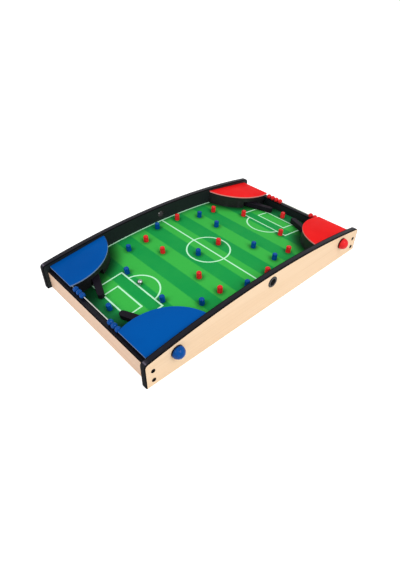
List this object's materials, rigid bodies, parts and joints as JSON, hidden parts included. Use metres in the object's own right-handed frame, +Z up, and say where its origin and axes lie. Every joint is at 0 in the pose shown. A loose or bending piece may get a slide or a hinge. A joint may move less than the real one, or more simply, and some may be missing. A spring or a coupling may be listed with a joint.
{
  "type": "tabletop football pinball game",
  "caption": "Open wooden tray with a bowed green football pitch, peg players, button-driven corner flippers, dome push buttons and sliding score beads on end wires.",
  "frame": {"origin": "middle of the tray on the surface that it stands on", "axes": "+X along the pitch towards the red end, +Y across it to the far side panel, +Z up"},
  "size_m": [0.56, 0.359, 0.0749],
  "materials": {
    "side_wood": "clear-lacquered pale birch ply, fine straight grain",
    "end_wood": "clear-lacquered pale birch, fine straight grain",
    "black_edging": "satin black edge strip",
    "pitch_print": "thin board with a printed green football pitch",
    "blue_lacquer": "blue satin lacquer with paler cut edges",
    "red_lacquer": "red satin lacquer with paler cut edges",
    "black_moulding": "fine-grained black moulding",
    "blue_gloss": "glossy blue",
    "red_gloss": "glossy red",
    "guide_wood": "plain sanded wood",
    "steel": "bright drawn steel",
    "polished_steel": "polished steel ball",
    "black_screw": "black oxide"
  },
  "bodies": {
    "tray": {"blue_end_panel": "end_wood", "blue_end_strip": "black_edging", "blue_far_corner_plate": "blue_lacquer", "blue_far_corner_wall": "black_moulding", "blue_far_return_spring": "steel", "blue_near_corner_plate": "blue_lacquer", "blue_near_corner_wall": "black_moulding", "blue_near_return_spring": "steel", "blue_pegs": "blue_gloss", "blue_score_wire": "steel", "corner_screws": "steel", "far_ball_grommet": "black_moulding", "far_edge_strip": "black_edging", "far_side_panel": "side_wood", "near_ball_grommet": "black_moulding", "near_edge_strip": "black_edging", "near_side_panel": "side_wood", "panel_screws": "black_screw", "pitch_board": "pitch_print", "pivot_pins": "steel", "red_end_panel": "end_wood", "red_end_strip": "black_edging", "red_far_corner_plate": "red_lacquer", "red_far_corner_wall": "black_moulding", "red_far_return_spring": "steel", "red_near_corner_plate": "red_lacquer", "red_near_corner_wall": "black_moulding", "red_near_return_spring": "steel", "red_pegs": "red_gloss", "red_score_wire": "steel", "rod_guides": "guide_wood"},
    "blue_near_button": {"blue_near_button": "blue_gloss", "blue_near_push_rod": "steel"},
    "blue_near_flipper": {"blue_near_flipper": "black_moulding"},
    "blue_far_button": {"blue_far_button": "blue_gloss", "blue_far_push_rod": "steel"},
    "blue_far_flipper": {"blue_far_flipper": "black_moulding"},
    "red_near_button": {"red_near_button": "red_gloss", "red_near_push_rod": "steel"},
    "red_near_flipper": {"red_near_flipper": "black_moulding"},
    "red_far_button": {"red_far_button": "red_gloss", "red_far_push_rod": "steel"},
    "red_far_flipper": {"red_far_flipper": "black_moulding"},
    "blue_bead_1": {"blue_bead_1": "blue_gloss"},
    "blue_bead_2": {"blue_bead_2": "blue_gloss"},
    "blue_bead_3": {"blue_bead_3": "blue_gloss"},
    "blue_bead_6": {"blue_bead_6": "blue_gloss"},
    "blue_bead_5": {"blue_bead_5": "blue_gloss"},
    "blue_bead_4": {"blue_bead_4": "blue_gloss"},
    "red_bead_1": {"red_bead_1": "red_gloss"},
    "red_bead_2": {"red_bead_2": "red_gloss"},
    "red_bead_3": {"red_bead_3": "red_gloss"},
    "red_bead_4": {"red_bead_4": "red_gloss"},
    "red_bead_6": {"red_bead_6": "red_gloss"},
    "red_bead_5": {"red_bead_5": "red_gloss"},
    "steel_ball": {"steel_ball": "polished_steel"}
  },
  "joints": [
    {"name": "blue_near_button_press", "type": "slide", "parent": "tray", "child": "blue_near_button", "axis": [0, 1, 0], "range_m": [0, 0.0087], "stiffness_N_per_m": 250, "springref_m": -0.004, "deforming": ["blue_near_return_spring"]},
    {"name": "blue_near_flipper_swing", "type": "hinge", "parent": "tray", "child": "blue_near_flipper", "pos_m": [-0.20821, -0.0955, 0.04262], "axis": [0.1411, 0, -0.99], "range_deg": [0, 42.2]},
    {"name": "blue_far_button_press", "type": "slide", "parent": "tray", "child": "blue_far_button", "axis": [0, -1, 0], "range_m": [0, 0.0087], "stiffness_N_per_m": 250, "springref_m": -0.004, "deforming": ["blue_far_return_spring"]},
    {"name": "blue_far_flipper_swing", "type": "hinge", "parent": "tray", "child": "blue_far_flipper", "pos_m": [-0.20821, 0.0955, 0.04262], "axis": [-0.1411, 0, 0.99], "range_deg": [0, 42.2]},
    {"name": "red_near_button_press", "type": "slide", "parent": "tray", "child": "red_near_button", "axis": [0, 1, 0], "range_m": [0, 0.0087], "stiffness_N_per_m": 250, "springref_m": -0.004, "deforming": ["red_near_return_spring"]},
    {"name": "red_near_flipper_swing", "type": "hinge", "parent": "tray", "child": "red_near_flipper", "pos_m": [0.20821, -0.0955, 0.04262], "axis": [0.1411, 0, 0.99], "range_deg": [0, 42.2]},
    {"name": "red_far_button_press", "type": "slide", "parent": "tray", "child": "red_far_button", "axis": [0, -1, 0], "range_m": [0, 0.0087], "stiffness_N_per_m": 250, "springref_m": -0.004, "deforming": ["red_far_return_spring"]},
    {"name": "red_far_flipper_swing", "type": "hinge", "parent": "tray", "child": "red_far_flipper", "pos_m": [0.20821, 0.0955, 0.04262], "axis": [-0.1411, 0, -0.99], "range_deg": [0, 42.2]},
    {"name": "blue_bead_1_slide", "type": "slide", "parent": "tray", "child": "blue_bead_1", "axis": [0, -1, 0], "range_m": [-0.0042, 0.0128]},
    {"name": "blue_bead_2_slide", "type": "slide", "parent": "blue_bead_1", "child": "blue_bead_2", "axis": [0, -1, 0], "range_m": [0, 0.0128]},
    {"name": "blue_bead_3_slide", "type": "slide", "parent": "blue_bead_2", "child": "blue_bead_3", "axis": [0, -1, 0], "range_m": [0, 0.0128]},
    {"name": "blue_bead_6_slide", "type": "slide", "parent": "tray", "child": "blue_bead_6", "axis": [0, 1, 0], "range_m": [0, 0.0128]},
    {"name": "blue_bead_5_slide", "type": "slide", "parent": "blue_bead_6", "child": "blue_bead_5", "axis": [0, 1, 0], "range_m": [0, 0.0128]},
    {"name": "blue_bead_4_slide", "type": "slide", "parent": "blue_bead_5", "child": "blue_bead_4", "axis": [0, 1, 0], "range_m": [0, 0.0128]},
    {"name": "red_bead_1_slide", "type": "slide", "parent": "tray", "child": "red_bead_1", "axis": [0, -1, 0], "range_m": [-0.0042, 0.0128]},
    {"name": "red_bead_2_slide", "type": "slide", "parent": "red_bead_1", "child": "red_bead_2", "axis": [0, -1, 0], "range_m": [0, 0.0128]},
    {"name": "red_bead_3_slide", "type": "slide", "parent": "red_bead_2", "child": "red_bead_3", "axis": [0, -1, 0], "range_m": [0, 0.0128]},
    {"name": "red_bead_4_slide", "type": "slide", "parent": "red_bead_3", "child": "red_bead_4", "axis": [0, -1, 0], "range_m": [0, 0.0128]},
    {"name": "red_bead_6_slide", "type": "slide", "parent": "tray", "child": "red_bead_6", "axis": [0, 1, 0], "range_m": [0, 0.0128]},
    {"name": "red_bead_5_slide", "type": "slide", "parent": "red_bead_6", "child": "red_bead_5", "axis": [0, 1, 0], "range_m": [0, 0.0128]},
    {"name": "steel_ball_lift", "type": "slide", "parent": "tray", "child": "steel_ball", "axis": [0, 0, 1], "range_m": [0, 0.045]}
  ],
  "couplings": [
    {"joint": "blue_near_flipper_swing", "follows": "blue_near_button_press", "rad_per_m": 83.756},
    {"joint": "blue_far_flipper_swing", "follows": "blue_far_button_press", "rad_per_m": 83.756},
    {"joint": "red_near_flipper_swing", "follows": "red_near_button_press", "rad_per_m": 83.756},
    {"joint": "red_far_flipper_swing", "follows": "red_far_button_press", "rad_per_m": 83.756}
  ]
}
